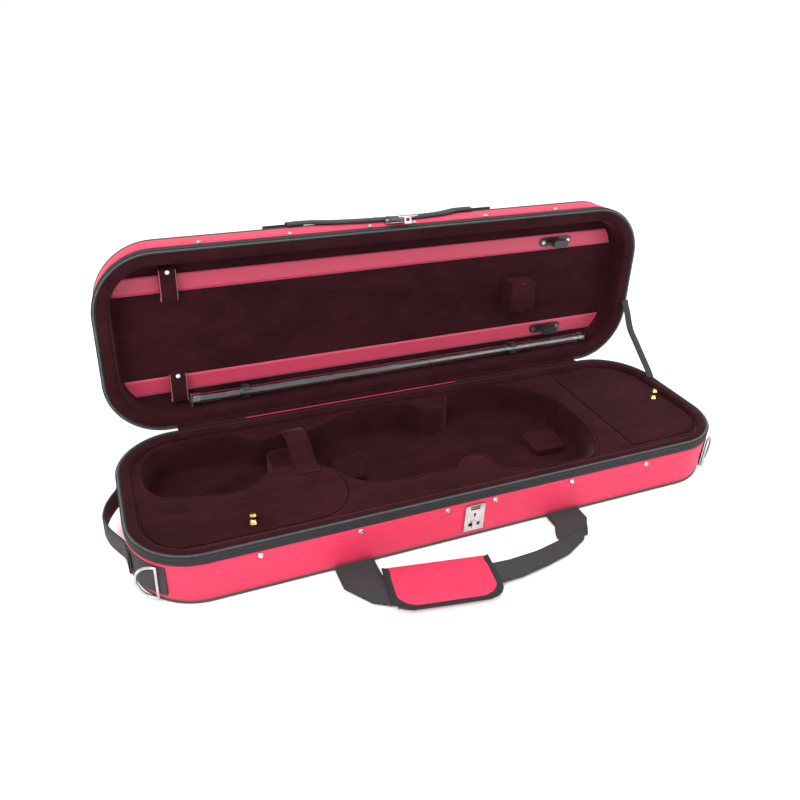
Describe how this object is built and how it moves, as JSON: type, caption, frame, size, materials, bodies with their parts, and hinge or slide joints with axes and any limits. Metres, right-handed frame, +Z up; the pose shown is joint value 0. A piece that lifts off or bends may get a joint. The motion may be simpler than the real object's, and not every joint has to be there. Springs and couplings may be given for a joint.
{
  "type": "violin case",
  "caption": "Oblong hinged instrument case with a shaped padded well, lidded pockets, bow clips in the lid and carrying straps.",
  "frame": {"origin": "centre of the base's underside", "axes": "+X along the case towards the lower-bout end, +Y towards the hinge, +Z up"},
  "size_m": [0.8414, 0.4373, 0.3442],
  "materials": {
    "red_cloth": "woven nylon",
    "velvet": "short-pile velvet",
    "black_webbing": "ribbed webbing",
    "black_piping": "smooth piping",
    "grip_cloth": "padded nylon bound in black",
    "shell_board": "thin plywood",
    "ribbon": "satin",
    "chrome": "polished",
    "nickel": "plated",
    "brass": "polished",
    "black_plastic": "moulded",
    "clear_tube": "clear plastic"
  },
  "bodies": {
    "base": {"base_shell": "shell_board", "base_cover": "red_cloth", "base_underside": "red_cloth", "base_piping": "black_piping", "base_zip_band": "black_webbing", "base_lip": "velvet", "padded_insert": "velvet", "well_bed": "velvet", "suspension_pads": "velvet", "neck_rest": "velvet", "lock_plate": "chrome", "base_rivets": "nickel", "d_ring_tabs": "black_webbing", "end_handle": "black_webbing", "carry_anchors": "black_webbing", "hinge_cord": "black_webbing", "hinge_band_base": "black_webbing", "zip_sliders": "nickel", "lid_stay": "black_webbing"},
    "lid": {"lid_shell": "shell_board", "lid_cover": "red_cloth", "lid_piping": "black_piping", "lid_zip_band": "black_webbing", "lid_lining": "velvet", "lid_ribbons": "ribbon", "tip_pads": "velvet", "spinner_plates": "black_plastic", "spinner_screws": "nickel", "frog_block": "velvet", "tube_clips": "black_plastic", "hasp_plate": "chrome", "lid_rivets": "nickel", "music_pocket": "red_cloth", "music_zip": "black_webbing", "lid_strap_anchors": "black_webbing", "hinge_band_lid": "black_webbing"},
    "pocket_left": {"pocket_lid_left": "velvet", "pocket_knob_left": "brass"},
    "pocket_right": {"pocket_lid_right": "velvet", "pocket_knob_right": "brass"},
    "neck_strap": {"neck_strap": "velvet"},
    "lock_button": {"lock_button": "chrome"},
    "ring_left": {"d_ring_left": "chrome"},
    "ring_right": {"d_ring_right": "chrome"},
    "carry_handle": {"carry_strap": "black_webbing", "carry_grip": "grip_cloth"},
    "grip_flap": {"grip_flap": "grip_cloth"},
    "pull_left": {"zip_pull_left": "nickel"},
    "pull_right": {"zip_pull_right": "nickel"},
    "tip_flap_upper": {"tip_flap_upper": "velvet"},
    "tip_flap_lower": {"tip_flap_lower": "velvet"},
    "spinner_upper": {"spinner_knob_upper": "black_plastic"},
    "spinner_lower": {"spinner_knob_lower": "black_plastic"},
    "string_tube": {"string_tube": "clear_tube"},
    "cap_left": {"tube_cap_left": "black_plastic"},
    "cap_right": {"tube_cap_right": "black_plastic"},
    "hasp_leaf": {"hasp_leaf": "chrome"},
    "lid_handle": {"lid_handle": "black_webbing"},
    "music_slider_left": {"music_slider_left": "nickel"},
    "music_slider_right": {"music_slider_right": "nickel"}
  },
  "joints": [
    {"name": "lid_hinge", "type": "hinge", "parent": "base", "child": "lid", "pos_m": [0, 0.1281, 0.066], "axis": [1, 0, 0], "range_deg": [0, 92], "deforming": ["lid_stay"]},
    {"name": "pocket_left_hinge", "type": "hinge", "parent": "base", "child": "pocket_left", "pos_m": [0, -0.0396, 0.0615], "axis": [1, 0, 0], "range_deg": [-100, 0]},
    {"name": "pocket_right_hinge", "type": "hinge", "parent": "base", "child": "pocket_right", "pos_m": [0.2606, 0, 0.0615], "axis": [0, 1, 0], "range_deg": [-100, 0]},
    {"name": "neck_strap_hinge", "type": "hinge", "parent": "base", "child": "neck_strap", "pos_m": [-0.179, 0.088, 0.0626], "axis": [1, 0, 0], "range_deg": [-105, 0]},
    {"name": "lock_button_slide", "type": "slide", "parent": "base", "child": "lock_button", "axis": [1, 0, 0], "range_m": [0, 0.005], "stiffness_N_per_m": 80},
    {"name": "ring_left_swing", "type": "hinge", "parent": "base", "child": "ring_left", "pos_m": [-0.38255, -0.11044, 0.03], "axis": [0, 0, -1], "range_deg": [-110, 10]},
    {"name": "ring_right_swing", "type": "hinge", "parent": "base", "child": "ring_right", "pos_m": [0.38255, -0.11044, 0.03], "axis": [0, 0, 1], "range_deg": [-110, 10]},
    {"name": "carry_handle_lift", "type": "hinge", "parent": "base", "child": "carry_handle", "pos_m": [0, -0.1475, 0.0026], "axis": [1, 0, 0], "range_deg": [-90, 0]},
    {"name": "grip_flap_hinge", "type": "hinge", "parent": "carry_handle", "child": "grip_flap", "pos_m": [-0.06784, -0.16141, 0.0068], "axis": [-0.9877, 0.1564, 0], "range_deg": [0, 90]},
    {"name": "zip_pull_left_hinge", "type": "hinge", "parent": "base", "child": "pull_left", "pos_m": [-0.326, 0.1328, 0.0588], "axis": [1, 0, 0], "range_deg": [0, 80]},
    {"name": "zip_pull_right_hinge", "type": "hinge", "parent": "base", "child": "pull_right", "pos_m": [0.326, 0.1328, 0.0588], "axis": [1, 0, 0], "range_deg": [0, 80]},
    {"name": "tip_flap_upper_hinge", "type": "hinge", "parent": "lid", "child": "tip_flap_upper", "pos_m": [-0.312, 0.16994, 0.24405], "axis": [-1, 0, 0], "range_deg": [-80, 0]},
    {"name": "tip_flap_lower_hinge", "type": "hinge", "parent": "lid", "child": "tip_flap_lower", "pos_m": [-0.312, 0.16477, 0.09614], "axis": [-1, 0, 0], "range_deg": [-50, 0]},
    {"name": "spinner_upper_turn", "type": "hinge", "parent": "lid", "child": "spinner_upper", "pos_m": [0.279, 0.16525, 0.26442], "axis": [0, 0.9994, -0.0349], "range_deg": [-90, 90]},
    {"name": "spinner_lower_turn", "type": "hinge", "parent": "lid", "child": "spinner_lower", "pos_m": [0.279, 0.16015, 0.11851], "axis": [0, 0.9994, -0.0349], "range_deg": [-90, 90]},
    {"name": "string_tube_spin", "type": "hinge", "parent": "lid", "child": "string_tube", "pos_m": [0.023, 0.15022, 0.09785], "axis": [1, 0, 0], "continuous": true},
    {"name": "cap_left_turn", "type": "hinge", "parent": "string_tube", "child": "cap_left", "pos_m": [-0.296, 0.15022, 0.09785], "axis": [1, 0, 0], "continuous": true},
    {"name": "cap_right_turn", "type": "hinge", "parent": "string_tube", "child": "cap_right", "pos_m": [0.342, 0.15022, 0.09785], "axis": [1, 0, 0], "continuous": true},
    {"name": "hasp_leaf_hinge", "type": "hinge", "parent": "lid", "child": "hasp_leaf", "pos_m": [0, 0.16064, 0.32452], "axis": [1, 0, 0], "range_deg": [-90, 22]},
    {"name": "lid_handle_swing", "type": "hinge", "parent": "lid", "child": "lid_handle", "pos_m": [0, 0.19872, 0.32329], "axis": [1, 0, 0], "range_deg": [-100, 0]},
    {"name": "music_slider_left_run", "type": "slide", "parent": "lid", "child": "music_slider_left", "axis": [1, 0, 0], "range_m": [-0.28, 0]},
    {"name": "music_slider_right_run", "type": "slide", "parent": "lid", "child": "music_slider_right", "axis": [-1, 0, 0], "range_m": [-0.28, 0]}
  ]
}
